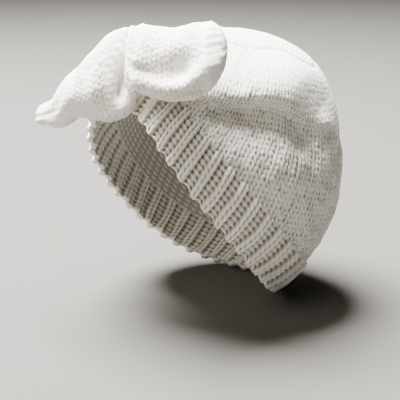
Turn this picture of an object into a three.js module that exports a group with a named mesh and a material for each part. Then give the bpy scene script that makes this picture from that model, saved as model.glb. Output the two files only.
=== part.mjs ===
// A baby's turban hat, hand-knitted in wool: a ribbed brim band, a slack crown, and two ends
// of the crown that are knotted above the forehead.
// Millimetres, +Z up as the hat is worn, -Y to the wearer's front, +X to the wearer's left.
// The origin is the centre of the head opening.
import * as THREE from 'three';

const rad = (degrees) => degrees * Math.PI / 180;

// Head opening: an ellipse, tilted so that its front is high, and bent like a saddle so that it
// comes forward at the ears.
const RIM = { halfWidth: 50, halfLength: 68, tilt: rad(50), saddle: 8.7, ripple: 1.5 };

// Knitted walls
const WALL = 2.4;
const GAP = 0.4;
const BAND = { height: 22, ribs: 46, relief: 0.8 };

// The crown is shaped by its reach from the middle of the head in eight directions, with a row for
// each height, in degrees above the horizon of that point. It is tight on the head low down and
// slack above, where it stands out over the left and right sides.
const HEAD_CENTRE = new THREE.Vector3(0, 25, 8);
const TOP = new THREE.Vector3(0, 0.3, 1).normalize();
const REACH = [
  {
    height: -75, front: 60, frontLeft: 57, left: 55, backLeft: 55,
    back: 56, backRight: 55, right: 55, frontRight: 57,
  },
  {
    height: -35, front: 60, frontLeft: 58, left: 57, backLeft: 56,
    back: 55, backRight: 56, right: 57, frontRight: 58,
  },
  {
    height: 0, front: 64, frontLeft: 60, left: 59, backLeft: 59,
    back: 58, backRight: 59, right: 59, frontRight: 60,
  },
  {
    height: 25, front: 70, frontLeft: 63, left: 62.5, backLeft: 64,
    back: 66, backRight: 64, right: 62.5, frontRight: 63,
  },
  {
    height: 43, front: 77, frontLeft: 65, left: 66, backLeft: 71,
    back: 76, backRight: 71, right: 66, frontRight: 65,
  },
  {
    height: 54, front: 86, frontLeft: 73, left: 75.5, backLeft: 76,
    back: 80, backRight: 76, right: 75.5, frontRight: 72,
  },
  {
    height: 70, front: 87, frontLeft: 80, left: 77, backLeft: 79,
    back: 80, backRight: 79, right: 77, frontRight: 78,
  },
  {
    height: 90, front: 81, frontLeft: 81, left: 80, backLeft: 80,
    back: 80, backRight: 80, right: 80, frontRight: 80,
  },
];
const REACH_DIRECTIONS = [
  'front', 'frontLeft', 'left', 'backLeft', 'back', 'backRight', 'right', 'frontRight',
];

// Folds of the crown, each a ridge (out above 0) or a dent about one direction: round is in degrees
// from the front towards the wearer's left, up is in degrees above the horizon.
const FOLDS = [
  { fold: 'crease under the left lip', round: 68, up: 48.5, wide: 30, tall: 6, out: -3.5 },
  { fold: 'crease under the right lip', round: -68, up: 48.5, wide: 30, tall: 6, out: -3.5 },
  { fold: 'valley behind the left lip', round: 100, up: 38, wide: 9, tall: 14, out: -3.5 },
  { fold: 'valley behind the right lip', round: -104, up: 38, wide: 10, tall: 14, out: -3 },
  { fold: 'peak drawn into the knot', round: 10, up: 56, wide: 16, tall: 10, out: 5 },
];
const CROWN_MESH = { columns: 60, rows: 16 };
const RIM_BLEND = rad(40);

// The stitches leave the rim square to the opening and turn upwards to the top: AWAY is square to
// the opening's plane, and turnAway is how far the turning point lies that way.
const AWAY = new THREE.Vector3(0, Math.sin(RIM.tilt), Math.cos(RIM.tilt));
const TURN_AWAY = rad(40);

// The two ends are knitted pouches: sections from the knot to the tip, where tall is half the
// height of a section, deep half its depth, and dent how far its front side is pressed in.
const RIGHT_END = [
  { x: 8.1, y: -36.5, z: 73, tall: 10.8, deep: 3, dent: 0 },
  { x: 6.3, y: -37.6, z: 72.8, tall: 11.4, deep: 3.6, dent: 0 },
  { x: 4.6, y: -39, z: 72.3, tall: 19.6, deep: 8.5, dent: 0 },
  { x: 2.4, y: -40.8, z: 71.7, tall: 20.3, deep: 11, dent: 0 },
  { x: -0.5, y: -42.4, z: 70, tall: 19.3, deep: 12, dent: 0 },
  { x: -4, y: -43.5, z: 67.5, tall: 17.8, deep: 12, dent: 0 },
  { x: -8, y: -44.6, z: 65.3, tall: 15.8, deep: 11.5, dent: 0 },
  { x: -12.5, y: -46, z: 63.5, tall: 13.7, deep: 11, dent: 0 },
  { x: -18, y: -47.5, z: 60.7, tall: 12.3, deep: 10, dent: 0 },
  { x: -24.5, y: -49, z: 56, tall: 11, deep: 9, dent: 0 },
  { x: -31, y: -50.5, z: 51.3, tall: 8.6, deep: 7.5, dent: 0 },
  { x: -38, y: -51.5, z: 48.8, tall: 6.6, deep: 6, dent: 0 },
  { x: -44, y: -52.5, z: 47.1, tall: 5.1, deep: 5, dent: 0 },
  { x: -49, y: -53, z: 46, tall: 4, deep: 4, dent: 0 },
];
const LEFT_END = [
  { x: 9.9, y: -35.5, z: 73.2, tall: 10.8, deep: 3, dent: 0 },
  { x: 11.7, y: -34.4, z: 74.2, tall: 11.2, deep: 3.6, dent: 0 },
  { x: 13.4, y: -33.5, z: 78.4, tall: 14.8, deep: 9, dent: 0 },
  { x: 15.5, y: -32.6, z: 79.6, tall: 15.8, deep: 11, dent: 2 },
  { x: 18, y: -30.8, z: 79.5, tall: 16.4, deep: 11.8, dent: 5 },
  { x: 22, y: -27.5, z: 78.6, tall: 16.6, deep: 12, dent: 8 },
  { x: 26.5, y: -24, z: 77.7, tall: 17.1, deep: 12, dent: 8 },
  { x: 31, y: -20.5, z: 78.8, tall: 17.2, deep: 11.5, dent: 6 },
  { x: 36, y: -18, z: 80.5, tall: 17.3, deep: 11, dent: 3 },
  { x: 40, y: -15, z: 82, tall: 16.3, deep: 10, dent: 0 },
  { x: 44, y: -13.5, z: 83.9, tall: 15, deep: 9, dent: 0 },
  { x: 47.5, y: -11.8, z: 85.4, tall: 11.5, deep: 6.5, dent: 0 },
];
const RIGHT_FACING = new THREE.Vector3(0.3, -0.95, 0);
const LEFT_FACING = new THREE.Vector3(0.6, -0.8, 0);
const BOW_UP = new THREE.Vector3(-0.4, 0.25, 0.9).normalize();
const END_WALL = 2.6;
const END_MESH = { around: 22, steps: 20 };
const DENT = { turn: rad(110), wide: rad(38) };

// The knot is a knitted loop round the narrow roots of the two ends.
const KNOT = { x: 9, y: -36, z: 73.4, rise: 15.4, reach: 7, thick: 3, wide: 3 };
const KNOT_AXIS = new THREE.Vector3(-0.86, -0.5, 0).normalize();
const KNOT_MESH = { around: 28, section: 10 };

function mix(a, b, t) {
  return a + (b - a) * t;
}

function smooth(t) {
  const x = THREE.MathUtils.clamp(t, 0, 1);
  return x * x * (3 - 2 * x);
}

// The value at t between b and c on a smooth curve through four neighbours
function through(a, b, c, d, t) {
  const slopeB = (c - a) / 2;
  const slopeC = (d - b) / 2;
  const t2 = t * t;
  const t3 = t2 * t;
  return (2 * t3 - 3 * t2 + 1) * b + (t3 - 2 * t2 + t) * slopeB
    + (3 * t2 - 2 * t3) * c + (t3 - t2) * slopeC;
}

// A closed mesh over rings of points. A ring of one point closes the surface there.
function shellMesh(name, color, rings) {
  const starts = [];
  const positions = [];
  for (const ring of rings) {
    starts.push(positions.length / 3);
    ring.forEach((point) => positions.push(point.x, point.y, point.z));
  }
  const index = [];
  for (let i = 0; i < rings.length; i += 1) {
    const next = (i + 1) % rings.length;
    const count = Math.max(rings[i].length, rings[next].length);
    for (let j = 0; j < count && rings[i].length + rings[next].length > 2; j += 1) {
      const k = (j + 1) % count;
      const [a, b] = rings[i].length > 1 ? [starts[i] + j, starts[i] + k] : [starts[i], starts[i]];
      const [d, c] = rings[next].length > 1
        ? [starts[next] + j, starts[next] + k] : [starts[next], starts[next]];
      if (a !== b) index.push(a, b, c);
      if (c !== d) index.push(a, c, d);
    }
  }
  const corner = (n) => new THREE.Vector3().fromArray(positions, 3 * index[n]);
  let volume = 0;
  for (let n = 0; n < index.length; n += 3) {
    volume += corner(n).dot(corner(n + 1).cross(corner(n + 2)));
  }
  if (volume < 0) index.reverse();
  const geometry = new THREE.BufferGeometry();
  geometry.setAttribute('position', new THREE.Float32BufferAttribute(positions, 3));
  geometry.setIndex(index);
  geometry.computeVertexNormals();
  const material = new THREE.MeshStandardMaterial({ color, roughness: 0.95, metalness: 0 });
  const mesh = new THREE.Mesh(geometry, material);
  mesh.name = name;
  return mesh;
}

// A point of the opening's edge: round is 0 at the wearer's left and a quarter turn at the front
function rimPoint(round) {
  const along = RIM.halfLength * Math.sin(round);
  const lift = RIM.ripple * Math.cos(4 * round) - RIM.saddle * Math.cos(2 * round);
  return new THREE.Vector3(
    RIM.halfWidth * Math.cos(round),
    -along * Math.cos(RIM.tilt) + lift * Math.sin(RIM.tilt),
    along * Math.sin(RIM.tilt) + lift * Math.cos(RIM.tilt),
  );
}

// How far the crown reaches from the middle of the head in one direction
function crownReach(direction) {
  const up = THREE.MathUtils.radToDeg(Math.asin(direction.z));
  const round = THREE.MathUtils.radToDeg(Math.atan2(direction.x, -direction.y));
  const turn = (round + 360) % 360 / 45;
  const side = Math.floor(turn);
  const names = [-1, 0, 1, 2].map((step) => REACH_DIRECTIONS[(side + step + 8) % 8]);
  const atHeight = (row) => through(...names.map((name) => REACH[row][name]), turn - side);
  const last = REACH.length - 1;
  let row = 0;
  while (row < last - 1 && REACH[row + 1].height < up) row += 1;
  const step = REACH[row + 1].height - REACH[row].height;
  const t = THREE.MathUtils.clamp((up - REACH[row].height) / step, 0, 1);
  const rows = [-1, 0, 1, 2].map((n) => THREE.MathUtils.clamp(row + n, 0, last));
  let reach = through(...rows.map(atHeight), t);
  for (const fold of FOLDS) {
    const aside = ((round - fold.round + 540) % 360 - 180) / fold.wide;
    const above = (up - fold.up) / fold.tall;
    reach += fold.out * Math.exp(-aside * aside - above * above);
  }
  return reach;
}

// A point of the hat's outer surface, inset by a depth. share is 0 at the rim and 1 at the top.
function bodyPoint(round, share, inset) {
  const rim = rimPoint(round).sub(HEAD_CENTRE);
  const rimReach = rim.length();
  const start = rim.normalize();
  const turning = turnTowards(start, AWAY, TURN_AWAY);
  const direction = start.clone().multiplyScalar((1 - share) ** 2)
    .addScaledVector(turning, 2 * share * (1 - share))
    .addScaledVector(TOP, share ** 2).normalize();
  const reach = mix(rimReach, crownReach(direction), smooth(direction.angleTo(start) / RIM_BLEND));
  return direction.multiplyScalar(reach - inset).add(HEAD_CENTRE);
}

// A direction turned by an angle towards another one
function turnTowards(direction, other, angle) {
  const full = direction.angleTo(other);
  return direction.clone().multiplyScalar(Math.sin(full - angle))
    .addScaledVector(other, Math.sin(angle)).normalize();
}

// The share of the way to the top at which a stitch column is a given length from the rim
function shareAt(round, length) {
  const steps = 40;
  let travelled = 0;
  let previous = bodyPoint(round, 0, 0);
  for (let i = 1; i <= steps; i += 1) {
    const point = bodyPoint(round, i / (2 * steps), 0);
    const stretch = point.distanceTo(previous);
    if (travelled + stretch >= length) return (i - 1 + (length - travelled) / stretch) / (2 * steps);
    travelled += stretch;
    previous = point;
  }
  return 0.5;
}

function ringOf(count, pointAt) {
  return Array.from({ length: count }, (unused, i) => pointAt(2 * Math.PI * i / count));
}

// The brim band is knitted in ribs, one column of stitches up and one down
function makeBand() {
  const columns = 4 * BAND.ribs;
  const rib = (round) => BAND.relief * Math.sign(Math.cos(BAND.ribs * round + Math.PI / 4)) / 2;
  const ring = (part, inset) => ringOf(columns, (round) => (
    bodyPoint(round, part * shareAt(round, BAND.height), inset - rib(round))
  ));
  const parts = [0, 0.5, 1];
  const outside = parts.map((part) => ring(part, 0));
  const inside = parts.map((part) => ring(part, WALL)).reverse();
  return shellMesh('brim_band', 0xeee9df, [...outside, ...inside]);
}

function makeCrown() {
  const ring = (row, inset) => ringOf(CROWN_MESH.columns, (round) => {
    const start = shareAt(round, BAND.height + GAP);
    return bodyPoint(round, mix(start, 1, row / CROWN_MESH.rows), inset);
  });
  const rows = Array.from({ length: CROWN_MESH.rows }, (unused, row) => row);
  const peak = (inset) => [bodyPoint(0, 1, inset)];
  const outside = rows.map((row) => ring(row, 0));
  const inside = rows.map((row) => ring(row, WALL)).reverse();
  return shellMesh('crown', 0xf1ede4, [...outside, peak(0), peak(WALL), ...inside]);
}

// A knitted pouch along a row of sections, open towards the knot and closed at its tip
function makeEnd(name, sections, facing) {
  const { around, steps } = END_MESH;
  const spine = new THREE.CatmullRomCurve3(sections.map(({ x, y, z }) => new THREE.Vector3(x, y, z)));
  const size = (key, t) => {
    const place = t * (sections.length - 1);
    const at = Math.min(Math.floor(place), sections.length - 2);
    const pick = (step) => sections[THREE.MathUtils.clamp(at + step, 0, sections.length - 1)][key];
    return through(pick(-1), pick(0), pick(1), pick(2), place - at);
  };
  const ring = (t, inset) => {
    const centre = spine.getPoint(t);
    const tip = Math.sqrt(1 - THREE.MathUtils.clamp((t - 0.9) / 0.1, 0, 1) ** 2);
    return ringOf(around, (turn) => {
      const press = size('dent', t) * Math.exp(-(((turn - DENT.turn) / DENT.wide) ** 2));
      const tall = (size('tall', t) * tip - inset) * Math.cos(turn);
      const deep = (size('deep', t) * tip - inset) * Math.sin(turn) - press;
      return centre.clone().addScaledVector(BOW_UP, tall).addScaledVector(facing, deep);
    });
  };
  const shares = Array.from({ length: steps }, (unused, i) => 0.99 * i / (steps - 1));
  const hollow = shares.filter((t) => t < 0.8);
  const outside = shares.map((t) => ring(t, 0));
  const inside = hollow.map((t) => ring(t, END_WALL)).reverse();
  return shellMesh(name, 0xf3efe7, [...outside, [spine.getPoint(1)], [spine.getPoint(0.84)], ...inside]);
}

function makeKnot() {
  const forward = new THREE.Vector3(0, 0, 1).cross(KNOT_AXIS);
  const centre = new THREE.Vector3(KNOT.x, KNOT.y, KNOT.z);
  const rings = ringOf(KNOT_MESH.around, (turn) => {
    const out = BOW_UP.clone().multiplyScalar(Math.cos(turn)).addScaledVector(forward, Math.sin(turn));
    const loop = centre.clone().addScaledVector(BOW_UP, KNOT.rise * Math.cos(turn))
      .addScaledVector(forward, KNOT.reach * Math.sin(turn));
    return ringOf(KNOT_MESH.section, (about) => loop.clone()
      .addScaledVector(out, KNOT.thick * Math.cos(about))
      .addScaledVector(KNOT_AXIS, KNOT.wide * Math.sin(about)));
  });
  return shellMesh('knot', 0xf3efe7, rings);
}

const hat = new THREE.Group();
hat.name = 'turban_hat';
hat.add(makeBand());
hat.add(makeCrown());
hat.add(makeKnot());
hat.add(makeEnd('bow_end_right', RIGHT_END, RIGHT_FACING));
hat.add(makeEnd('bow_end_left', LEFT_END, LEFT_FACING));

export default hat;
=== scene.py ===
import math

import bpy
import numpy as np
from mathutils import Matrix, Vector


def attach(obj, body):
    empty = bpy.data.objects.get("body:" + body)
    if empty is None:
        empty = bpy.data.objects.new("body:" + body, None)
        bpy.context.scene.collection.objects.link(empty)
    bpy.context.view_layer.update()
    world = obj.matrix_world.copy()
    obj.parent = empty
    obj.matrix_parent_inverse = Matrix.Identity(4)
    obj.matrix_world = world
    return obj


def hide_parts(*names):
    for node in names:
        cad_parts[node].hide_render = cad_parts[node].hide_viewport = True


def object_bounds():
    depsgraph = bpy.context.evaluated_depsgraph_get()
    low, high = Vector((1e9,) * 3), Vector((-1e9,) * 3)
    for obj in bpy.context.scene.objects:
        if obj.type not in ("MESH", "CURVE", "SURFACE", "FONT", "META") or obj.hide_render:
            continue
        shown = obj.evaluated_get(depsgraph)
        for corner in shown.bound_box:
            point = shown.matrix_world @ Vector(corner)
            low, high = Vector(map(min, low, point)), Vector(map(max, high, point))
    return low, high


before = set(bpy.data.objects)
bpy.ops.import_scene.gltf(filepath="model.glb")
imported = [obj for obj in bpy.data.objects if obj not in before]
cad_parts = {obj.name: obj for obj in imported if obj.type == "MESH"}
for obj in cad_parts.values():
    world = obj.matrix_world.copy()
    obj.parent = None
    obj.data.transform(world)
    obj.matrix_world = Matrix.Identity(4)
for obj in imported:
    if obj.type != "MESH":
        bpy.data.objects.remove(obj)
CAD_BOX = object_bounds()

# A baby's turban hat in hand-knitted wool. Every form is worked out in millimetres, in the frame
# of the CAD model: +Z up as worn, -Y to the wearer's front, +X to the wearer's left.
MM = 0.001

# ----------------------------------------------------------
# Camera, floor and lights

# Azimuths and elevations are in degrees, round from the front towards the wearer's left and up
# from the horizon. Distances and sizes in this part are in metres.
VIEW = {"azimuth": 55.0, "elevation": 17.0, "distance": 0.480, "lens": 86.4, "sensor": 36.0,
        "shift_x": 0.04375, "shift_y": 0.0245, "near": 0.01}


def direction_of(azimuth, elevation):
    """The unit direction from the hat towards a place round it"""
    a, e = math.radians(azimuth), math.radians(elevation)
    return Vector((math.sin(a) * math.cos(e), -math.cos(a) * math.cos(e), math.sin(e)))


def add_camera():
    """The camera, which looks at the middle of the frame"""
    data = bpy.data.cameras.new("photo_camera")
    data.lens = VIEW["lens"]
    data.sensor_width = VIEW["sensor"]
    data.shift_x = VIEW["shift_x"]
    data.shift_y = VIEW["shift_y"]
    data.clip_start = VIEW["near"]
    camera = bpy.data.objects.new("photo_camera", data)
    back = direction_of(VIEW["azimuth"], VIEW["elevation"])
    camera.location = back * VIEW["distance"]
    camera.rotation_euler = back.to_track_quat("Z", "Y").to_euler()
    bpy.context.collection.objects.link(camera)
    bpy.context.scene.camera = camera


# Soft boxes: where they stand round the hat, how far, their size and power
LIGHTS = [
    {"name": "key", "azimuth": -80.0, "elevation": 67.0, "distance": 1.4, "size": 0.9, "power": 318.0,
     "color": (1.0, 0.99, 0.97)},
    {"name": "fill", "azimuth": 12.0, "elevation": 42.0, "distance": 1.5, "size": 1.0, "power": 13.0,
     "color": (1.0, 0.94, 0.84)},
]
WORLD = {"color": (1.0, 0.95, 0.86), "strength": 0.03}


def add_lights():
    """The soft boxes, and the faint light that comes from all round"""
    for row in LIGHTS:
        data = bpy.data.lights.new(row["name"], "AREA")
        data.shape = "DISK"
        data.size = row["size"]
        data.energy = row["power"]
        data.color = row["color"]
        lamp = bpy.data.objects.new(row["name"], data)
        away = direction_of(row["azimuth"], row["elevation"])
        lamp.location = away * row["distance"]
        lamp.rotation_euler = away.to_track_quat("Z", "Y").to_euler()
        bpy.context.collection.objects.link(lamp)
    world = bpy.data.worlds.new("studio")
    world.use_nodes = True
    background = world.node_tree.nodes["Background"]
    background.inputs["Color"].default_value = (*WORLD["color"], 1.0)
    background.inputs["Strength"].default_value = WORLD["strength"]
    bpy.context.scene.world = world


# Pale matt paper just under the hat
FLOOR = {"reach": 3.0, "cells": 8, "gap": 0.001, "color": (0.090, 0.086, 0.079), "rough": 0.9}


def add_floor():
    """The sheet of paper under the hat, which is not part of it"""
    low = CAD_BOX[0][2] - FLOOR["gap"]
    n = FLOOR["cells"]
    steps = [FLOOR["reach"] * (2 * i / n - 1) for i in range(n + 1)]
    points = [(x, y, low) for y in steps for x in steps]
    faces = [(j * (n + 1) + i, j * (n + 1) + i + 1, (j + 1) * (n + 1) + i + 1, (j + 1) * (n + 1) + i)
             for j in range(n) for i in range(n)]
    mesh = bpy.data.meshes.new("floor")
    mesh.from_pydata(points, [], faces)
    material = bpy.data.materials.new("floor_paper")
    material.use_nodes = True
    shader = material.node_tree.nodes["Principled BSDF"]
    shader.inputs["Base Color"].default_value = (*FLOOR["color"], 1.0)
    shader.inputs["Roughness"].default_value = FLOOR["rough"]
    mesh.materials.append(material)
    floor = bpy.data.objects.new("floor", mesh)
    bpy.context.collection.objects.link(floor)


# ----------------------------------------------------------
# Wool

# How matt the yarn is, and the yarn depths at which its painted shade and its own colour are reached
YARN = {"rough": 0.92, "specular": 0.25, "sheen": 0.35, "sheen_rough": 0.6,
        "painted_shade_at": 0.08, "light_at": 0.72}
# Fine hairs, as a noise with a bump of a few tenths of a millimetre
HAIRS = {"scale": 1100.0, "detail": 4.0, "rough": 0.65, "strength": 0.8, "deep": 0.0004}


# The colour of each wool on top of its strands, and a painted shade colour deep between them
WOOLS = {
    "rib_wool": {"light": (0.90, 0.87, 0.80), "painted_shade_colour": (0.31, 0.27, 0.21)},
    "crown_wool": {"light": (0.85, 0.82, 0.755), "painted_shade_colour": (0.27, 0.235, 0.18)},
    "bow_wool": {"light": (0.89, 0.87, 0.81), "painted_shade_colour": (0.62, 0.585, 0.49)},
}


def wool(name):
    """Matt knitting yarn with painted shade. The point attribute yarn is 1 on top of a strand and 0 deep
    between, where the colour darkens to painted shade.
    """
    material = bpy.data.materials.new(name)
    material.use_nodes = True
    nodes = material.node_tree.nodes
    links = material.node_tree.links
    shader = nodes["Principled BSDF"]
    shader.inputs["Roughness"].default_value = YARN["rough"]
    shader.inputs["Specular IOR Level"].default_value = YARN["specular"]
    shader.inputs["Sheen Weight"].default_value = YARN["sheen"]
    shader.inputs["Sheen Roughness"].default_value = YARN["sheen_rough"]
    # Painted shade: the yarn depth darkens the base colour between strands, where their shadow falls
    depth = nodes.new("ShaderNodeAttribute")
    depth.attribute_name = "yarn"
    ramp = nodes.new("ShaderNodeValToRGB")
    ramp.color_ramp.elements[0].position = YARN["painted_shade_at"]
    ramp.color_ramp.elements[0].color = (*WOOLS[name]["painted_shade_colour"], 1.0)
    ramp.color_ramp.elements[1].position = YARN["light_at"]
    ramp.color_ramp.elements[1].color = (*WOOLS[name]["light"], 1.0)
    links.new(depth.outputs["Fac"], ramp.inputs["Fac"])
    links.new(ramp.outputs["Color"], shader.inputs["Base Color"])
    place = nodes.new("ShaderNodeTexCoord")
    fuzz = nodes.new("ShaderNodeTexNoise")
    fuzz.inputs["Scale"].default_value = HAIRS["scale"]
    fuzz.inputs["Detail"].default_value = HAIRS["detail"]
    fuzz.inputs["Roughness"].default_value = HAIRS["rough"]
    bump = nodes.new("ShaderNodeBump")
    bump.inputs["Strength"].default_value = HAIRS["strength"]
    bump.inputs["Distance"].default_value = HAIRS["deep"]
    links.new(place.outputs["Object"], fuzz.inputs["Vector"])
    links.new(fuzz.outputs["Fac"], bump.inputs["Height"])
    links.new(bump.outputs["Normal"], shader.inputs["Normal"])
    return material


# ----------------------------------------------------------
# The body's form, the same as the CAD model's. The rim is a tilted ellipse bent like a saddle.
# The crown is given by its reach from the middle of the head in eight directions, with a row for
# each height in degrees above the horizon, and by folds of that reach. Stitch columns set out
# from the rim, turn away from the face and meet at the top.
RIM = {"half_width": 50.0, "half_length": 68.0, "tilt": math.radians(50), "saddle": 8.7, "ripple": 1.5}
HEAD = np.array([0.0, 25.0, 8.0])
TOP = np.array([0.0, 0.3, 1.0]) / math.hypot(0.3, 1.0)
AWAY = np.array([0.0, math.sin(RIM["tilt"]), math.cos(RIM["tilt"])])
TURN_AWAY = math.radians(40)
RIM_BLEND = math.radians(40)
SIDES = ["front", "front_left", "left", "back_left", "back", "back_right", "right", "front_right"]
REACH = [
    {"up": -75, "front": 60, "front_left": 57, "left": 55, "back_left": 55,
     "back": 56, "back_right": 55, "right": 55, "front_right": 57},
    {"up": -35, "front": 60, "front_left": 58, "left": 57, "back_left": 56,
     "back": 55, "back_right": 56, "right": 57, "front_right": 58},
    {"up": 0, "front": 64, "front_left": 60, "left": 59, "back_left": 59,
     "back": 58, "back_right": 59, "right": 59, "front_right": 60},
    {"up": 25, "front": 70, "front_left": 63, "left": 62.5, "back_left": 64,
     "back": 66, "back_right": 64, "right": 62.5, "front_right": 63},
    {"up": 43, "front": 77, "front_left": 65, "left": 66, "back_left": 71,
     "back": 76, "back_right": 71, "right": 66, "front_right": 65},
    {"up": 54, "front": 86, "front_left": 73, "left": 75.5, "back_left": 76,
     "back": 80, "back_right": 76, "right": 75.5, "front_right": 72},
    {"up": 70, "front": 87, "front_left": 80, "left": 77, "back_left": 79,
     "back": 80, "back_right": 79, "right": 77, "front_right": 78},
    {"up": 90, "front": 81, "front_left": 81, "left": 80, "back_left": 80,
     "back": 80, "back_right": 80, "right": 80, "front_right": 80},
]
FOLDS = {
    "crease under the left lip": {"round": 68, "up": 48.5, "wide": 30, "tall": 6, "out": -3.5},
    "crease under the right lip": {"round": -68, "up": 48.5, "wide": 30, "tall": 6, "out": -3.5},
    "valley behind the left lip": {"round": 100, "up": 38, "wide": 9, "tall": 14, "out": -3.5},
    "valley behind the right lip": {"round": -104, "up": 38, "wide": 10, "tall": 14, "out": -3.0},
    "peak drawn into the knot": {"round": 10, "up": 56, "wide": 16, "tall": 10, "out": 5.0},
}
REACH_UP = np.array([row["up"] for row in REACH], float)
REACH_AT = np.array([[row[side] for side in SIDES] for row in REACH], float)


def smooth(t):
    """An even step from 0 to 1"""
    x = np.clip(t, 0.0, 1.0)
    return x * x * (3 - 2 * x)


def through(a, b, c, d, t):
    """A smooth curve from b to c, a share t of the way, that heads from a and towards d"""
    slope_b, slope_c = (c - a) / 2, (d - b) / 2
    t2, t3 = t * t, t * t * t
    return ((2 * t3 - 3 * t2 + 1) * b + (t3 - 2 * t2 + t) * slope_b
            + (3 * t2 - 2 * t3) * c + (t3 - t2) * slope_c)


def unit(v):
    """The same directions, with a length of 1"""
    return v / np.maximum(np.linalg.norm(v, axis=-1, keepdims=True), 1e-12)


def angles_of(direction):
    """Degrees round from the front towards the wearer's left, and degrees above the horizon"""
    up = np.degrees(np.arcsin(np.clip(direction[..., 2], -1, 1)))
    return np.degrees(np.arctan2(direction[..., 0], -direction[..., 1])), up


def half_turn(degrees):
    """The same angle, from -180 to 180"""
    return (degrees + 540) % 360 - 180


def crown_reach(direction):
    """The crown's reach from the middle of the head in each direction"""
    turn_deg, up = angles_of(direction)
    turn = (turn_deg % 360) / (360 / len(SIDES))
    side = np.floor(turn).astype(int)
    row = np.clip(np.searchsorted(REACH_UP, up, side="left") - 1, 0, len(REACH) - 2)
    t = np.clip((up - REACH_UP[row]) / (REACH_UP[row + 1] - REACH_UP[row]), 0, 1)

    def at_height(r):
        picks = [REACH_AT[r, (side + step) % len(SIDES)] for step in (-1, 0, 1, 2)]
        return through(*picks, turn - side)

    rows = [np.clip(row + n, 0, len(REACH) - 1) for n in (-1, 0, 1, 2)]
    reach = through(*[at_height(r) for r in rows], t)
    for fold in FOLDS.values():
        aside = half_turn(turn_deg - fold["round"]) / fold["wide"]
        above = (up - fold["up"]) / fold["tall"]
        reach = reach + fold["out"] * np.exp(-aside ** 2 - above ** 2)
    return reach


def rim_point(turn):
    """The rim of the opening, from the wearer's left at 0, over the front at a quarter turn"""
    along = RIM["half_length"] * np.sin(turn)
    lift = RIM["ripple"] * np.cos(4 * turn) - RIM["saddle"] * np.cos(2 * turn)
    tilt = RIM["tilt"]
    return np.stack([RIM["half_width"] * np.cos(turn),
                     -along * math.cos(tilt) + lift * math.sin(tilt),
                     along * math.sin(tilt) + lift * math.cos(tilt)], -1)


def angle_between(a, b):
    """The angle between two unit directions, in radians"""
    return np.arccos(np.clip(np.sum(a * b, -1), -1, 1))


def body_point(turn, share):
    """The hat's surface. turn is 0 at the wearer's left and a quarter turn at the front, and share
    runs along a stitch column from the rim to the top."""
    rim = rim_point(turn) - HEAD
    rim_reach = np.linalg.norm(rim, axis=-1)
    start = unit(rim)
    full = angle_between(start, AWAY)[..., None]
    turning = unit(start * np.sin(full - TURN_AWAY) + AWAY * math.sin(TURN_AWAY))
    s = share[..., None]
    direction = unit(start * (1 - s) ** 2 + turning * 2 * s * (1 - s) + TOP * s ** 2)
    blend = smooth(angle_between(direction, start) / RIM_BLEND)
    reach = rim_reach * (1 - blend) + crown_reach(direction) * blend
    return HEAD + direction * reach[..., None]


# The seam over the top runs back from the knot on both sides of the middle: half its width at
# each distance back.
SEAM = {
    "back": [-32, -5, 8, 16, 24, 32, 40, 48, 56, 63, 68, 71, 72],
    "half": [8, 9, 13, 21, 25, 26, 29, 33, 33, 28, 20, 11, 5],
}
# Places of the plan are taken on a ball of this radius round the middle of the head
PLAN_RADIUS = 80.0
# The seam is a shallow groove with small holes beside it, one at every second stitch. Both get painted
# shade, darker than the wool round them.
GROOVE = {"deep": 0.5, "half": 1.3, "flattens": 0.5, "painted_shade": 0.3}
HOLES = {"aside": 1.6, "half": 0.8, "sharp": 8, "deep": 0.8, "painted_shade": 0.5}

# The slack cloth sags over a crease on each side, level above the ear and running down behind it.
# Angles are in degrees, as in REACH. The cloth above the crease drops and stands out as a lip, less
# on the wearer's right. It comes and goes over the degrees round in from and to, sets in at start
# over lip degrees and ends over tall. Its stitches are closed up, so shallower and with less painted
# shade between them, and its surface is calmer. Under the crease the cloth is tucked in a little.
CREASE = {
    "round": [20, 44, 62, 76, 88, 98, 110, 135],
    "up": [49, 49, 49, 48.5, 46, 42, 35, 24],
}
SAG = {"drop": 5.0, "out": 6.5, "from": (18, 46), "to": (98, 132), "start": -2, "lip": 9.0, "tall": 13,
       "right": 0.55, "closed": 0.55, "calm": 0.9}
TUCK = {"in": 0.8, "tall": 14, "to": (92, 108), "deeper": 0.6, "round": 86, "wide": 10}


def crease_place(points):
    """How far round from the front each point is, how far above the crease in degrees, and how
    much it belongs to the slack cloth above it, 0 to 1"""
    turn, up = angles_of(unit(points - HEAD))
    above = up - np.interp(np.abs(turn), CREASE["round"], CREASE["up"])
    return turn, above, smooth((above - SAG["start"]) / SAG["lip"])


def slackened(knit, base):
    """Stitch heights, which also give the painted shade between stitches, with those of the slack cloth
    closed up, so shallower and less shaded than on the head
    """
    return 1 - (1 - knit) * (1 - SAG["closed"] * crease_place(base)[2])


def sagged(points):
    """Points of the body with the slack cloth let down into its lips"""
    direction = unit(points - HEAD)
    turn, above, rising = crease_place(points)
    aside = np.abs(turn)
    low, high, end = SAG["from"], SAG["to"], TUCK["to"]
    start = smooth((aside - low[0]) / (low[1] - low[0])) * np.where(turn < 0, SAG["right"], 1.0)
    over = rising * np.exp(-(np.maximum(above, 0) / SAG["tall"]) ** 2) * start
    over = over * smooth((high[1] - aside) / (high[1] - high[0]))
    under = np.exp(-(np.minimum(above, 0) / TUCK["tall"]) ** 2) * (1 - rising) * start
    under = under * smooth((end[1] - aside) / (end[1] - end[0]))
    tuck = TUCK["in"] + TUCK["deeper"] * np.exp(-((aside - TUCK["round"]) / TUCK["wide"]) ** 2)
    level = unit(direction * np.array([1.0, 1.0, 0.0]))
    moved = points + level * (SAG["out"] * over - tuck * under)[..., None]
    moved[..., 2] -= SAG["drop"] * over
    return moved


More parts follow.
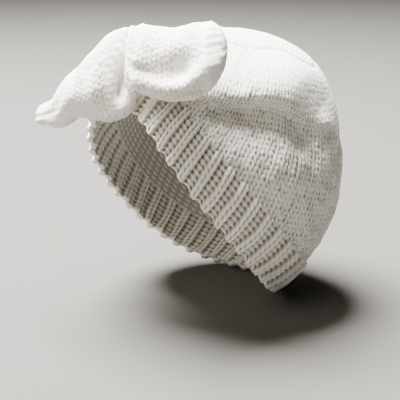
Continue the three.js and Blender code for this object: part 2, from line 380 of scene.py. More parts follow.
# The slight unevenness of hand knitting: the products of two waves, each given by its turns a
# millimetre, in radians, and its start
WOBBLE = [
    {"amount": 1.0, "level": (0.29, 0.21, 0.0), "level_start": 1.3,
     "steep": (0.0, -0.19, 0.33), "steep_start": 0.0},
    {"amount": 0.6, "level": (-0.38, 0.47, 0.0), "level_start": 0.5,
     "steep": (0.31, 0.0, 0.52), "steep_start": 2.0},
]
WOBBLE_HEIGHT = 0.35


def wobble(points):
    """How far the knitting stands out of even, in millimetres; the slack cloth hardly does"""
    waves = sum(row["amount"] * np.sin(points @ np.array(row["level"]) + row["level_start"])
                * np.sin(points @ np.array(row["steep"]) + row["steep_start"]) for row in WOBBLE)
    return WOBBLE_HEIGHT * (1 - SAG["calm"] * crease_place(points)[2]) * waves


def half_seam(back):
    """Half the distance between the seam's two arms, at each distance back"""
    return np.interp(back, SEAM["back"], SEAM["half"])


def within_seam(points):
    """Whether points of the body lie between the two arms of the seam"""
    place = unit(points - HEAD) * PLAN_RADIUS + HEAD
    x, y, z = place[..., 0], place[..., 1], place[..., 2]
    inside = (np.abs(x) < half_seam(y)) & (z > HEAD[2])
    return inside & (y > SEAM["back"][0]) & (y < SEAM["back"][-1])


# ----------------------------------------------------------
# Knitting: a closed double surface over a grid of stitches

# Stockinette, in millimetres: the stitch columns round the body, a row's height, the grid's steps
# across a stitch and along a row, the relief and the height in it that lies on the form, the wall
# behind it, the bars on its inside, and how much coarser the grid is there
STITCH = {"columns": 92, "row": 2.7, "across": 10, "along": 5, "relief": 0.85, "middle": 0.7,
          "wall": 2.2, "bar": 0.7, "coarse": 5}
# A leg of a knit stitch, in stitch widths and heights: how long it is and how early it starts, how
# blunt its ends are, where its foot stands and how far its head spreads, and its half width and its
# height. Each varies a little from stitch to stitch.
LEG = {"long": 1.5, "early": 0.12, "blunt": 0.6, "foot": 0.09, "spread": 0.25, "stray": 0.16,
       "half": 0.20, "half_more": 0.08, "high": 0.74, "high_more": 0.36}
# A loop of a purl stitch: how far its row sways, and how low it gets between rows and loops
LOOP = {"sway": 0.16, "between_rows": 0.25, "between_loops": 0.5}


# Large uneven factors that mix the numbers of a stitch's column and row
MIX = {"column": 12.9898, "row": 78.233, "both": 43758.5453}


def uneven(column, row):
    """A fixed, random-looking number from 0 to 1 for each stitch"""
    mixed = np.sin(np.mod(column, STITCH["columns"]) * MIX["column"] + row * MIX["row"]) * MIX["both"]
    return mixed - np.floor(mixed)


def knit_relief(a, b):
    """Height of stockinette, 0 to 1, at a stitches across and b stitches up: two legs a stitch,
    which spread upwards, each tucked under the next stitch's foot."""
    across = a - np.floor(a)
    along = b - np.floor(b)
    best = np.zeros(np.broadcast(a, b).shape)
    for back in (0.0, 1.0):
        t = along + back
        rise = np.sin(np.pi * np.clip((t + LEG["early"]) / LEG["long"], 0, 1))
        rise = np.clip(rise, 0, 1) ** LEG["blunt"]
        for wrap in (-1.0, 0.0, 1.0):
            own = uneven(np.floor(a) - wrap, np.floor(b) - back)
            for side in (-1.0, 1.0):
                centre = 0.5 + side * (LEG["foot"] + LEG["spread"] * t) + LEG["stray"] * (own - 0.5)
                aside = (across - centre + wrap) / (LEG["half"] + LEG["half_more"] * own)
                high = LEG["high"] + LEG["high_more"] * own
                leg = np.sqrt(np.clip(1 - aside ** 2, 0, 1)) * rise * high
                best = np.maximum(best, leg)
    return best


def purl_relief(a, b):
    """Height of reverse stockinette: low loops side by side, each row between the last one's."""
    beside = np.cos(2 * np.pi * a)
    wave = 0.5 + 0.5 * np.cos(2 * np.pi * (b + LOOP["sway"] * beside))
    rows, loops = LOOP["between_rows"], LOOP["between_loops"]
    return (rows + (1 - rows) * wave) * ((1 + loops) / 2 + (1 - loops) / 2 * beside)


def normals_of(points):
    """Unit normals of a grid of points, pointing away from the middle of the head"""
    normal = unit(np.cross(np.gradient(points, axis=0), np.gradient(points, axis=1)))
    if np.mean(np.sum(normal * (points - HEAD), -1)) < 0:
        normal = -normal
    return normal


def faces_of(index):
    """Quads over a grid of point numbers, or triangles where two numbers of a quad are one"""
    a, b = index[:-1, :-1], index[:-1, 1:]
    c, d = index[1:, 1:], index[1:, :-1]
    quads = np.stack([a, b, c, d], -1).reshape(-1, 4)
    left = quads[:, 0] == quads[:, 3]
    right = quads[:, 1] == quads[:, 2]
    whole = quads[~left & ~right].tolist()
    whole += quads[left & ~right][:, [0, 1, 2]].tolist()
    whole += quads[right & ~left][:, [0, 1, 3]].tolist()
    return whole


def rim_faces(outer, inner):
    """Faces that close a double surface along one edge; the outer line is the finer one."""
    ratio = (len(outer) - 1) // (len(inner) - 1)
    faces = []
    for i in range(len(inner) - 1):
        line = [int(v) for v in outer[i * ratio:(i + 1) * ratio + 1]]
        line += [int(inner[i + 1]), int(inner[i])]
        face = [v for n, v in enumerate(line) if v != line[n - 1]]
        if len(set(face)) > 2:
            faces.append(face)
    return faces


# Strips of the map: the outer surface, and the inner one
MAP_OUTER = (0.0, 0.6)
MAP_INNER = (0.62, 1.0)
MAP_SIZE = 0.98


def add_piece(name, points, shade, place, faces, material):
    """A piece from points in millimetres, each with its yarn depth, which sets its painted shade, and
    its place on the map
    """
    mesh = bpy.data.meshes.new(name)
    mesh.from_pydata((points * MM).tolist(), [], faces)
    mesh.polygons.foreach_set("use_smooth", [True] * len(mesh.polygons))
    # The yarn depth is kept on each point for the wool's painted shade
    yarn = mesh.attributes.new("yarn", "FLOAT", "POINT")
    yarn.data.foreach_set("value", np.clip(shade, 0, 1).astype(np.float32))
    corners = np.concatenate([np.asarray(face) for face in faces])
    sizes = np.array([len(face) for face in faces])
    number = np.repeat(np.arange(len(faces)), sizes)
    uv = place[corners]
    high = np.zeros(len(faces))
    np.maximum.at(high, number, uv[:, 0])
    # Faces over the join of a closed surface run on to the far edge of the map
    uv[:, 0] += ((high[number] - uv[:, 0]) > 0.5) * 1.0
    layer = mesh.uv_layers.new(name="OFBake")
    layer.data.foreach_set("uv", (uv * MAP_SIZE).astype(np.float32).ravel())
    mesh.materials.append(material)
    mesh.update()
    piece = bpy.data.objects.new(name, mesh)
    bpy.context.collection.objects.link(piece)
    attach(piece, "root")
    return piece


def map_places(rows, columns, low, high):
    """Places on the map for a grid, in a strip of it from low to high"""
    across = np.broadcast_to(np.linspace(0, 1, columns)[None, :], (rows, columns))
    up = np.broadcast_to(np.linspace(low, high, rows)[:, None], (rows, columns))
    return np.stack([across, up], -1)


def double_surface(name, outer, inner, material, last_outer=None, last_inner=None, closed=False):
    """A closed piece from an outer and an inner surface, each a grid of points and one of yarn depths
    for the painted shade, rows by columns. last_ holds the row at which each column ends, where they
    differ."""
    points, shades, places, indexes = [], [], [], []
    start = 0
    parts = [(outer, last_outer, *MAP_OUTER), (inner, last_inner, *MAP_INNER)]
    for (grid, shade), last, low, high in parts:
        rows, columns = grid.shape[:2]
        place = map_places(rows, columns, low, high)
        if closed:
            grid, shade, place = grid[:, :-1], shade[:, :-1], place[:, :-1]
            columns -= 1
        number = np.broadcast_to(np.arange(rows)[:, None], (rows, columns))
        if last is not None:
            number = np.minimum(number, last[None, :columns])
        index = start + number * columns + np.arange(columns)[None, :]
        indexes.append(np.concatenate([index, index[:, :1]], 1) if closed else index)
        points.append(grid.reshape(-1, 3))
        shades.append(np.broadcast_to(shade, (rows, columns)).ravel())
        places.append(place.reshape(-1, 2))
        start += rows * columns
    index_out, index_in = indexes
    faces = faces_of(index_out) + [face[::-1] for face in faces_of(index_in)]
    faces += [face[::-1] for face in rim_faces(index_out[0], index_in[0])]
    faces += rim_faces(index_out[-1], index_in[-1])
    if not closed:
        faces += rim_faces(index_out[:, 0], index_in[:, 0])
        faces += [face[::-1] for face in rim_faces(index_out[:, -1], index_in[:, -1])]
    points, shades, places = np.concatenate(points), np.concatenate(shades), np.concatenate(places)
    used = np.unique(np.concatenate([np.asarray(face) for face in faces]))
    renumber = np.zeros(len(points), int)
    renumber[used] = np.arange(len(used))
    faces = [renumber[face].tolist() for face in faces]
    return add_piece(name, points[used], shades[used], places[used], faces, material)


# ----------------------------------------------------------
# Brim band and crown

# Shares of a stitch column at which its path is worked out, how often a step of it is halved to
# find where it meets the seam, and the points of a line and of a ring whose length is measured
PATH = np.linspace(0, 1, 97)
HALVINGS = 12
LINE = 200
RING = 241
# The band: its height, its ribs and rows, the grid's steps across a stitch and along a row, the
# thickness of its wall, how far its edge stands out at each rib, over how short a way, and the line
# of the grid that gives the slope there
BAND = {"height": 22.0, "ribs": 46, "rows": 8, "across": 10, "along": 6, "wall": 1.6,
        "scallop": 0.7, "scallop_short": 4, "slope_row": 3}
# One face of the rib, in millimetres and in stitch widths and heights. The raised stitch has two
# cords that sway a little, the sunken one has a bar in each row and holes at both sides, and the
# cast-on edge is thicker.
RIB = {"rise": 1.1, "steep": 1.3, "cord": 1.15, "cord_half": 0.23, "cord_sway": 0.04, "cord_low": 0.84,
       "bar": 0.55, "bar_half": 0.34, "bar_square": 4, "hole": 1.0, "hole_half": 0.12, "hole_tall": 0.22,
       "edge": 0.9, "edge_at": 0.25, "edge_half": 0.22, "uneven": 0.1}
CORDS = [{"at": 0.25, "phase": 0.0}, {"at": 0.75, "phase": 0.5}]
BAR_AT = 1.5
HOLES_AT = (1.14, 1.86)
# Painted shade of the rib, as yarn depths: what each part of it adds, darker in the groove, the trough
# and the holes
RIB_PAINTED_SHADE = {"groove": 0.15, "trough": 0.38, "bar": 0.34, "edge": 0.4, "hole": 0.9}
# The ribs wander: waves in the whole band, their slant a row and their start in radians, and how
# far they carry a rib aside, in stitches
WANDER = [
    {"waves": 17, "slant": 0.5, "start": 0, "aside": 0.09},
    {"waves": 29, "slant": -0.8, "start": 1, "aside": 0.08},
]


class Columns:
    """Stitch columns of the body: points at given lengths from the rim"""

    def __init__(self, turns):
        self.turns = turns
        grid = (len(turns), len(PATH))
        self.paths = body_point(np.broadcast_to(turns[:, None], grid), np.broadcast_to(PATH, grid))
        steps = np.linalg.norm(np.diff(self.paths, axis=1), axis=-1)
        self.length = np.concatenate([np.zeros((len(turns), 1)), np.cumsum(steps, axis=1)], 1)

    def points(self, lengths):
        """Points at the lengths of a grid, rows by columns"""
        share = np.empty_like(lengths)
        for c in range(len(self.turns)):
            share[:, c] = np.interp(lengths[:, c], self.length[c], PATH)
        return body_point(np.broadcast_to(self.turns, lengths.shape), share)

    def seam_lengths(self):
        """The length at which each column meets the seam, found by halving, or its whole length"""
        inside = within_seam(self.paths)
        ends = np.empty(len(self.turns))
        for c in range(len(self.turns)):
            hit = np.argmax(inside[c]) if inside[c].any() else len(PATH) - 1
            lo, hi = self.length[c][max(hit - 1, 0)], self.length[c][hit]
            for _ in range(HALVINGS):
                mid = (lo + hi) / 2
                share = np.interp(mid, self.length[c], PATH)
                if within_seam(body_point(self.turns[c:c + 1], np.array([share])))[0]:
                    hi = mid
                else:
                    lo = mid
            ends[c] = (lo + hi) / 2
        return ends


def rib_face(a, b):
    """Height and yarn depth of one face of the rib, at a stitches round and b rows up: a raised
    stitch of two cords, then a sunken one of short bars between two rows of holes. The yarn depth is
    painted shade, darker in the groove between the cords, in the trough and in the holes."""
    place = np.mod(a, 2.0)
    own = uneven(np.floor(a), np.floor(b))
    up = smooth(0.5 + RIB["steep"] * np.cos(np.pi * (place - 0.5)))
    cords = np.zeros(place.shape)
    for cord in CORDS:
        turn = 2 * np.pi * (b + cord["phase"])
        aside = (place - cord["at"] - RIB["cord_sway"] * np.sin(turn)) / RIB["cord_half"]
        swell = RIB["cord_low"] + (1 - RIB["cord_low"]) * np.cos(turn) + RIB["uneven"] * (own - 0.5)
        cords = np.maximum(cords, np.sqrt(np.clip(1 - aside ** 2, 0, 1)) * swell)
    bars = np.exp(-(np.abs(place - BAR_AT) / RIB["bar_half"]) ** RIB["bar_square"])
    bars = bars * (0.5 + 0.5 * np.cos(2 * np.pi * b))
    between = (b - np.floor(b) - 0.5) / RIB["hole_tall"]
    holes = np.zeros(place.shape)
    for centre in HOLES_AT:
        holes += np.exp(-((place - centre) / RIB["hole_half"]) ** 2 - between ** 2)
    edge = np.exp(-((b - RIB["edge_at"]) / RIB["edge_half"]) ** 2)
    height = up * (RIB["rise"] + RIB["cord"] * cords)
    height += (1 - up) * (RIB["bar"] * bars + RIB["edge"] * edge) - RIB["hole"] * holes
    # Painted shade: darker in the groove between the cords, in the trough and in the holes
    shade = up * (RIB_PAINTED_SHADE["groove"] + (1 - RIB_PAINTED_SHADE["groove"]) * cords)
    shade += (1 - up) * (RIB_PAINTED_SHADE["trough"] + RIB_PAINTED_SHADE["bar"] * bars + RIB_PAINTED_SHADE["edge"] * edge)
    shade -= RIB_PAINTED_SHADE["hole"] * holes
    return height - 0.5 * RIB["rise"], np.clip(shade, 0, 1)


def make_band(material):
    """The ribbed band: two faces of rib on the first rows of the stitch columns"""
    stitches = 2 * BAND["ribs"]
    across, along, rows = BAND["across"], BAND["along"], BAND["rows"]
    turns = np.pi / 2 + 2 * np.pi * np.arange(stitches * across + 1) / (stitches * across)
    columns = Columns(turns)
    v = np.linspace(0, rows, rows * along + 1)
    a = np.broadcast_to(np.arange(len(turns))[None, :] / across, (len(v), len(turns)))
    b = np.broadcast_to(v[:, None], a.shape)
    round_band = 2 * np.pi * a / stitches
    wander = sum(row["aside"] * np.sin(row["waves"] * round_band + row["slant"] * b + row["start"])
                 for row in WANDER)
    a = a + wander * (1 - b / rows)
    fading = (1 - b / rows) ** BAND["scallop_short"]
    scallop = (BAND["scallop"] + wander) * np.cos(np.pi * (np.mod(a, 2.0) - 0.5)) * fading
    lengths = b / rows * BAND["height"] - scallop
    base = columns.points(np.maximum(lengths, 0))
    drop = np.maximum(-lengths, 0)
    below = unit(base[:1] - base[BAND["slope_row"]:BAND["slope_row"] + 1])
    base = base + below * drop[..., None]
    normal = normals_of(base)
    out_height, out_shade = rib_face(a, b)
    in_height, in_shade = rib_face(a + 1, b)
    outer = base + normal * out_height[..., None]
    inner = base - normal * (BAND["wall"] + in_height)[..., None]
    return double_surface("brim_rib", (outer, out_shade), (inner, in_shade), material, closed=True)


# How far the crown's knitting goes in under the band, and the least that a column has of it
CROWN_UNDER = 0.2
CROWN_LEAST = 0.3


def knit_height(knit, dip, share):
    """Height of the crown's outside over its form: the stitches, and the seam's groove where dip
    is 1. share says how much of the stitches' relief there is room for."""
    relief = STITCH["relief"] * share * (knit - STITCH["middle"])
    return relief * (1 - GROOVE["flattens"] * dip) - GROOVE["deep"] * dip


def inner_surface(base, normal, a, b, dip):
    """The crown's purl side, on every few lines of the grid, with the height of its bars, which is also
    its painted shade
    """
    coarse = slice(None, None, STITCH["coarse"])
    bars = purl_relief(a, b)[:, coarse]
    thick = STITCH["wall"] + STITCH["bar"] * bars + dip[:, coarse]
    return base[:, coarse] - normal[:, coarse] * thick[..., None], bars


def crown_panel(name, first, last, material):
    """Stitch columns first to last of the crown's side, from the band to the seam"""
    across, along = STITCH["across"], STITCH["along"]
    u = np.arange(first * across, last * across + 1) / across
    turns = np.pi / 2 + 2 * np.pi * u / STITCH["columns"]
    columns = Columns(turns)
    ends = columns.seam_lengths()
    start = BAND["height"] - CROWN_UNDER
    count = int(math.ceil((ends.max() - start) / STITCH["row"])) + 1
    v = np.arange(count * along + 1) / along
    full = np.broadcast_to(start + v[:, None] * STITCH["row"], (len(v), len(ends)))
    limit = np.maximum(ends[None, :], start + CROWN_LEAST)
    lengths = np.minimum(full, limit)
    last_row = np.argmax(full >= limit, axis=0)
    base = sagged(columns.points(lengths))
    normal = normals_of(base)
    # From where a column ends, its points are all one, with the normal of the row before
    for c in range(len(u)):
        normal[last_row[c]:, c] = normal[max(last_row[c] - 1, 0), c]
    a = np.broadcast_to(u[None, :], lengths.shape)
    b = np.broadcast_to(v[:, None], lengths.shape)
    dip = np.exp(-((ends[None, :] - lengths) / GROOVE["half"]) ** 2)
    knit = slackened(knit_relief(a, b), base)
    away = (ends[None, :] - lengths - HOLES["aside"]) / HOLES["half"]
    holes = np.exp(-away ** 2) * (0.5 + 0.5 * np.cos(np.pi * a)) ** HOLES["sharp"]
    height = knit_height(knit, dip, 1.0) - HOLES["deep"] * holes + wobble(base)
    # Painted shade in the holes beside the seam
    knit = np.clip(knit - HOLES["painted_shade"] * holes, 0, 1)
    outer = base + normal * height[..., None]
    inner, bars = inner_surface(base, normal, a, b, dip)
    last_inner = last_row[::STITCH["coarse"]]
    # Painted shade: the colour darkens deep between the stitches and in the seam's groove
    shade = knit - GROOVE["painted_shade"] * dip
    return double_surface(name, (outer, shade), (inner, bars), material, last_row, last_inner)


# The body's surface as a cloud of spots: how many round it and along a column, from which share of
# the column, how many of the nearest count, and a little over 1 so that no weight is endless
SPOTS = {"round": 360, "along": 80, "from": 0.1, "near": 6, "over": 1.00002}


def body_reach(direction):
    """The body's reach in each direction, from the spots of the stitch columns nearest to it"""
    turns = np.linspace(0, 2 * np.pi, SPOTS["round"] + 1)[:-1]
    turn, share = np.meshgrid(turns, np.linspace(SPOTS["from"], 1, SPOTS["along"]), indexing="ij")
    spots = body_point(turn, share).reshape(-1, 3) - HEAD
    reach = np.linalg.norm(spots, axis=-1)
    closeness = direction.reshape(-1, 3) @ unit(spots).T
    near = np.argpartition(-closeness, SPOTS["near"], axis=1)[:, :SPOTS["near"]]
    weight = 1 / (SPOTS["over"] - np.take_along_axis(closeness, near, 1))
    return ((reach[near] * weight).sum(1) / weight.sum(1)).reshape(direction.shape[:-1])


def on_body(x, y):
    """The direction from the middle of the head to a place of the plan"""
    z = np.sqrt(np.maximum(PLAN_RADIUS ** 2 - x ** 2 - (y - HEAD[1]) ** 2, 1.0))
    return unit(np.stack([x, y - HEAD[1], z], -1))


# The piece between the seam's arms: its stitches across, where it starts and ends, and the half
# width at which its stitches have their full relief
TOP_PIECE = {"stitches": 17, "from": -31.9, "to": 72.4, "full": 20, "least": 0.45}


def crown_top(name, material):
    """The crown's top between the two arms of the seam, with its rows across the head"""
    stitches, across, along = TOP_PIECE["stitches"], STITCH["across"], STITCH["along"]
    fine = np.linspace(TOP_PIECE["from"], TOP_PIECE["to"], LINE)
    spine = on_body(np.zeros_like(fine), fine)
    spine = spine * crown_reach(spine)[..., None]
    run = np.concatenate([[0], np.cumsum(np.linalg.norm(np.diff(spine, axis=0), axis=1))])
    rows = int(run[-1] / STITCH["row"])
    v = np.arange(rows * along + 1) / along
    y = np.interp(v / rows * run[-1], run, fine)
    u = np.arange(stitches * across + 1) / across
    side = 2 * u / stitches - 1
    half = half_seam(y)
    x = side[None, :] * half[:, None]
    direction = on_body(x, np.broadcast_to(y[:, None], x.shape))
    reach = body_reach(direction[::along, ::across])
    reach = np.stack([np.interp(u, u[::across], row) for row in reach])
    reach = np.stack([np.interp(v, v[::along], column) for column in reach.T], -1)
    base = sagged(HEAD + direction * reach[..., None])
    normal = normals_of(base)
    a, b = np.broadcast_to(u[None, :], x.shape), np.broadcast_to(v[:, None], x.shape)
    edge = (1 - np.abs(side))[None, :] * half[:, None]
    dip = np.exp(-(edge / GROOVE["half"]) ** 2)
    share = np.clip(half / TOP_PIECE["full"], TOP_PIECE["least"], 1.0)[:, None]
    knit = slackened(knit_relief(a, b), base)
    outer = base + normal * knit_height(knit, dip, share)[..., None]
    inner, bars = inner_surface(base, normal, a, b, dip)
    # Painted shade: the colour darkens deep between the stitches and in the seam's groove
    return double_surface(name, (outer, knit - GROOVE["painted_shade"] * dip), (inner, bars), material)


# ----------------------------------------------------------
# The two ends and the knot. Each end is a tube round a line of sections from the knot to its tip.
# tall and deep are half of a section's size along BOW_UP and along the way that the end faces.
RIGHT_END = [
    {"x": 10.5, "y": -35.2, "z": 75, "tall": 17.5, "deep": 4},
    {"x": 8.4, "y": -36.4, "z": 73.6, "tall": 20.6, "deep": 8},
    {"x": 6, "y": -37.8, "z": 72.7, "tall": 21.3, "deep": 10.3},
    {"x": 3, "y": -39.8, "z": 71.4, "tall": 21.2, "deep": 11.5},
    {"x": 0, "y": -41.5, "z": 69.5, "tall": 20.2, "deep": 12},
    {"x": -4, "y": -43, "z": 67.3, "tall": 18, "deep": 12},
    {"x": -8, "y": -44.6, "z": 65.3, "tall": 15.8, "deep": 11.5},
    {"x": -12.5, "y": -46, "z": 63.5, "tall": 13.7, "deep": 11},
    {"x": -18, "y": -47.5, "z": 60.7, "tall": 12.3, "deep": 10},
    {"x": -24.5, "y": -49, "z": 56, "tall": 11, "deep": 9},
    {"x": -31, "y": -50.5, "z": 51.3, "tall": 8.6, "deep": 7.5},
    {"x": -38, "y": -51.5, "z": 48.8, "tall": 6.6, "deep": 6},
    {"x": -44, "y": -52.5, "z": 47.1, "tall": 5.1, "deep": 5},
    {"x": -49, "y": -53, "z": 46, "tall": 4.4, "deep": 4.2},
]
LEFT_END = [
    {"x": 10.5, "y": -36, "z": 83.8, "tall": 10, "deep": 5},
    {"x": 12, "y": -35.4, "z": 82.3, "tall": 12.4, "deep": 8},
    {"x": 13.4, "y": -34.5, "z": 81, "tall": 14.1, "deep": 10},
    {"x": 14.8, "y": -33.5, "z": 80.2, "tall": 15.4, "deep": 11.2},
    {"x": 16.2, "y": -32.4, "z": 79.8, "tall": 16, "deep": 11.8},
    {"x": 18, "y": -30.8, "z": 79.5, "tall": 16.4, "deep": 12},
    {"x": 22, "y": -27.5, "z": 78.6, "tall": 16.6, "deep": 12},
    {"x": 26.5, "y": -24, "z": 77.7, "tall": 17.1, "deep": 12},
    {"x": 31, "y": -20.5, "z": 78.8, "tall": 17.2, "deep": 11.5},
    {"x": 36, "y": -18, "z": 80.5, "tall": 17.3, "deep": 11},
    {"x": 40, "y": -15, "z": 82, "tall": 16.3, "deep": 10},
    {"x": 44, "y": -13.5, "z": 83.9, "tall": 16.8, "deep": 9.5},
    {"x": 49, "y": -11.3, "z": 86, "tall": 15, "deep": 8},
]
# Folds of the ends: along is the share of the way to the tip, turn is in degrees from the top
# towards the front, and out is how far the fold stands out, below 0 where it goes in.
RIGHT_FOLDS = {
    "crease at the knot": {"along": 0.0, "turn": 92, "long": 0.06, "wide": 20, "out": -5.5},
    "hole under the knot": {"along": 0.0, "turn": 116, "long": 0.07, "wide": 14, "out": -8.0},
    "hollow of the wing": {"along": 0.42, "turn": 75, "long": 0.2, "wide": 30, "out": -1.0},
    "rolled lower edge": {"along": 0.33, "turn": 156, "long": 0.22, "wide": 18, "out": 0.7},
    "underside that turns in": {"along": 0.4, "turn": 134, "long": 0.26, "wide": 24, "out": -3.2},
    "crease of the finger": {"along": 0.78, "turn": 95, "long": 0.14, "wide": 20, "out": -1.2},
}
LEFT_FOLDS = {
    "large hollow": {"along": 0.66, "turn": 92, "long": 0.13, "wide": 22, "out": -5.2},
    "small hollow": {"along": 0.42, "turn": 101, "long": 0.13, "wide": 12, "out": -1.3},
    "ridge over the small hollow": {"along": 0.38, "turn": 88, "long": 0.12, "wide": 8, "out": 0.6},
    "gutter over the roll": {"along": 0.56, "turn": 106, "long": 0.2, "wide": 12, "out": -0.4},
    "lower roll": {"along": 0.42, "turn": 126, "long": 0.30, "wide": 22, "out": 2.6},
    "roll rising to the tip": {"along": 0.82, "turn": 110, "long": 0.14, "wide": 22, "out": 1.8},
    "hollow under the roll": {"along": 0.74, "turn": 146, "long": 0.09, "wide": 10, "out": -3.0},
}
# Slow waves of the ends' surface: their turns along the end and round it, and their height
RIPPLES = [
    {"along": 9 * math.pi, "round": 2, "out": 0.2},
    {"along": 23, "round": -3, "out": 0.25},
]
# The ends are rounded off over the first share of the way, and past the share "rounded" at the
# tip. Their stitches fade where rows or columns crowd, and towards the tip, into small bumps.
END = {"reach": 0.999, "root": 0.05, "root_least": 0.98, "relief": 0.55,
       "row_from": 1.4, "row_over": 1.1, "column_to": 5.4, "column_over": 0.8, "tip_slope": 1.6,
       "tip_start": 0.7, "bumps": 0.22, "bump_turns": 2.3, "across": 10, "along": 5}
# The folds and the slow waves set in over a short way at the knot
FOLD_START = {"before": 0.02, "over": 0.06}
# Directions: where each end faces, which way is up for the bow, and the knot's axis
RIGHT_FACING = np.array([0.3, -0.95, 0.0])
LEFT_FACING = np.array([0.6, -0.8, 0.0])
BOW_UP = np.array([-0.4, 0.25, 0.9]) / np.linalg.norm([-0.4, 0.25, 0.9])
KNOT_AXIS = np.array([-0.86, -0.5, 0.0]) / math.hypot(0.86, 0.5)
# The knot is a ring of knitting in the joint: its middle, its half height and half depth, and the
# half thickness and half width of the strip
KNOT = {"x": 10.0, "y": -34.4, "z": 72.5, "rise": 9.5, "reach": 3.0, "thick": 1.8, "wide": 2.6,
        "wales": 4, "rows": 40, "across": 8, "along": 4, "relief": 0.9}


def catmull(values, t):
    """Values at shares t of a smooth curve through evenly spaced rows"""
    place = t * (len(values) - 1)
    at = np.clip(np.floor(place).astype(int), 0, len(values) - 2)
    last = len(values) - 1
    picks = [values[np.clip(at + n, 0, last)] for n in (-1, 0, 1, 2)]
    f = place - at
    if values.ndim > 1:
        f = f[..., None]
    return through(*picks, f)


def end_spine(sections, t):
    """Points of the line through the middles of an end's sections"""
    return catmull(np.array([[row["x"], row["y"], row["z"]] for row in sections], float), t)


def end_surface(sections, facing, rounded, turn, t):
    """Points of an end before its folds, at turn radians from the top and a share t of the way"""
    tall = np.array([row["tall"] for row in sections], float)
    deep = np.array([row["deep"] for row in sections], float)
    tip = np.sqrt(np.maximum(1 - np.clip((t - rounded) / (1 - rounded), 0, 1) ** 2, 0))
    root = END["root"]
    tip = tip * np.sqrt(np.maximum(1 - np.clip((root - t) / root, 0, END["root_least"]) ** 2, 0))
    high = catmull(tall, t) * tip * np.cos(turn)
    out = catmull(deep, t) * tip * np.sin(turn)
    return end_spine(sections, t) + BOW_UP * high[..., None] + facing * out[..., None]


def outward(points, spine):
    """Unit normals of a surface round a spine, closed over its rows"""
    up = np.roll(points[:-1], -1, 0) - np.roll(points[:-1], 1, 0)
    normal = unit(np.cross(np.gradient(points, axis=1), np.concatenate([up, up[:1]])))
    return normal if np.mean(np.sum(normal * (points - spine), -1)) > 0 else -normal


def even_turns(sections, facing, rounded, t, shares):
    """The turns round an end at which its rows lie at even steps along each of its sections"""
    fine = np.linspace(0, 2 * np.pi, RING)
    across = t[0]
    grid = (len(fine), len(across))
    turns, places = np.broadcast_to(fine[:, None], grid), np.broadcast_to(across, grid)
    rings = end_surface(sections, facing, rounded, turns, places)
    run = np.cumsum(np.linalg.norm(np.diff(rings, axis=0), axis=-1), axis=0)
    run = np.concatenate([np.zeros((1, len(across))), run])
    return np.stack([np.interp(shares * run[-1, c], run[:, c], fine) for c in range(len(across))], -1)


def pebbles(points, facing):
    """The small bumps of knitting seen on end, about -1 to 1"""
    up, out, along = points @ BOW_UP, points @ facing, points @ np.cross(BOW_UP, facing)
    k = END["bump_turns"]
    return (np.sin(k * up + out) + np.sin(k * out + along) + np.sin(k * along + up)) / 3


def make_end(name, sections, folds, facing, material, rounded, wales, rows):
    """An end of the turban: wales stitches along it and rows round it"""
    across, along = END["across"], END["along"]
    u = np.arange(wales * across + 1) / across
    v = np.arange(rows * along + 1) / along
    shares = np.linspace(0, END["reach"], LINE)
    run = np.linalg.norm(np.diff(end_spine(sections, shares), axis=0), axis=1)
    run = np.concatenate([[0], np.cumsum(run)])
    t = np.broadcast_to(np.interp(u / wales * run[-1], run, shares)[None, :], (len(v), len(u)))
    turn = even_turns(sections, facing, rounded, t, v / rows)
    base, spine = end_surface(sections, facing, rounded, turn, t), end_spine(sections, t)
    normal = outward(base, spine)
    shift = sum(row["out"] * np.sin(row["along"] * t + row["round"] * turn) for row in RIPPLES)
    for fold in folds.values():
        aside = half_turn(np.degrees(turn) - fold["turn"]) / fold["wide"]
        shift = shift + fold["out"] * np.exp(-aside ** 2 - ((t - fold["along"]) / fold["long"]) ** 2)
    base = base + normal * (shift * smooth((t + FOLD_START["before"]) / FOLD_START["over"]))[..., None]
    normal = outward(base, spine)
    a, b = np.broadcast_to(u[None, :], t.shape), np.broadcast_to(v[:, None], t.shape)
    row_size = np.linalg.norm(np.gradient(base, axis=0), axis=-1) * along
    fade = smooth((row_size - END["row_from"]) / END["row_over"])
    column_size = np.linalg.norm(np.gradient(base, axis=1), axis=-1) * across
    fade = fade * smooth((END["column_to"] - column_size) / END["column_over"])
    fade = fade * smooth(END["tip_slope"] * (1 - t) / (1 - rounded) - END["tip_start"])
    knit = knit_relief(a, b)
    height = END["relief"] * fade * (knit - STITCH["middle"])
    height = height + END["bumps"] * (1 - fade) * pebbles(base, facing)
    surface = (base + normal * height[..., None])[:-1]
    # Painted shade deep between the stitches, fading out where the relief fades
    shade = (1 - fade * (1 - knit))[:-1]
    index = np.arange(surface.shape[0] * surface.shape[1]).reshape(surface.shape[:2])
    index = np.concatenate([index, index[:1]])
    faces = faces_of(index)
    faces.append([int(i) for i in index[:-1, 0]])
    faces.append([int(i) for i in index[:-1, -1][::-1]])
    place = map_places(surface.shape[1], surface.shape[0], 0.0, 1.0).transpose(1, 0, 2)
    return add_piece(name, surface.reshape(-1, 3), shade.ravel(), place.reshape(-1, 2), faces, material)


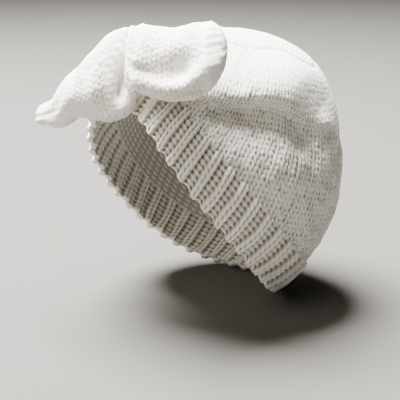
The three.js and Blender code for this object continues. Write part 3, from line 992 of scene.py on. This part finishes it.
def make_knot(material):
    """The strip of knitting round the joint of the two ends"""
    wales, rows, across, along = KNOT["wales"], KNOT["rows"], KNOT["across"], KNOT["along"]
    around = np.arange(rows * along) / (rows * along) * 2 * np.pi
    about = np.arange(wales * across) / (wales * across) * 2 * np.pi
    forward = np.cross([0, 0, 1.0], KNOT_AXIS)
    centre = np.array([KNOT["x"], KNOT["y"], KNOT["z"]])
    turn, ring = around[:, None, None], about[None, :, None]
    out = BOW_UP * np.cos(turn) + forward * np.sin(turn)
    loop = centre + BOW_UP * KNOT["rise"] * np.cos(turn) + forward * KNOT["reach"] * np.sin(turn)
    normal = out * np.cos(ring) + KNOT_AXIS * np.sin(ring)
    base = loop + out * KNOT["thick"] * np.cos(ring) + KNOT_AXIS * KNOT["wide"] * np.sin(ring)
    grid = (len(around), len(about))
    a = np.broadcast_to((about / (2 * np.pi) * wales)[None, :], grid)
    b = np.broadcast_to((around / (2 * np.pi) * rows)[:, None], grid)
    knit = knit_relief(a, b)
    surface = base + normal * (KNOT["relief"] * (knit - STITCH["middle"]))[..., None]
    index = np.arange(surface.shape[0] * surface.shape[1]).reshape(surface.shape[:2])
    index = np.concatenate([index, index[:1]])
    index = np.concatenate([index, index[:, :1]], 1)
    place = map_places(*surface.shape[:2], 0.0, 1.0)
    # The stitch relief also gives the knot its painted shade between the stitches
    return add_piece("knot_wrap", surface.reshape(-1, 3), knit.ravel(), place.reshape(-1, 2),
                     faces_of(index), material)


# ----------------------------------------------------------
# The scene
add_camera()
add_floor()
add_lights()
rib_wool = wool("rib_wool")
crown_wool = wool("crown_wool")
bow_wool = wool("bow_wool")

band = make_band(rib_wool)
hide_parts("brim_band")

# Each part of the crown laid flat, in metres: 4 mm a stitch by 2.7 mm a row; the fronts taper
PANELS = [
    {"name": "crown_front_left", "first": -23, "last": 0, "flat": (0.092, 0.089), "area": 0.0045},
    {"name": "crown_back_left", "first": -46, "last": -23, "flat": (0.092, 0.113), "area": 0.0094},
    {"name": "crown_back_right", "first": -69, "last": -46, "flat": (0.092, 0.113), "area": 0.0094},
    {"name": "crown_front_right", "first": -92, "last": -69, "flat": (0.092, 0.089), "area": 0.0045},
]
for row in PANELS:
    panel = crown_panel(row["name"], row["first"], row["last"], crown_wool)
    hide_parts("crown")

top = crown_top("crown_top", crown_wool)
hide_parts("crown")

right_end = make_end("end_right", RIGHT_END, RIGHT_FOLDS, RIGHT_FACING, bow_wool,
                     rounded=0.9, wales=16, rows=34)
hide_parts("bow_end_right")
left_end = make_end("end_left", LEFT_END, LEFT_FOLDS, LEFT_FACING, bow_wool,
                    rounded=0.80, wales=12, rows=32)
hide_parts("bow_end_left")
knot = make_knot(bow_wool)
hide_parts("knot")
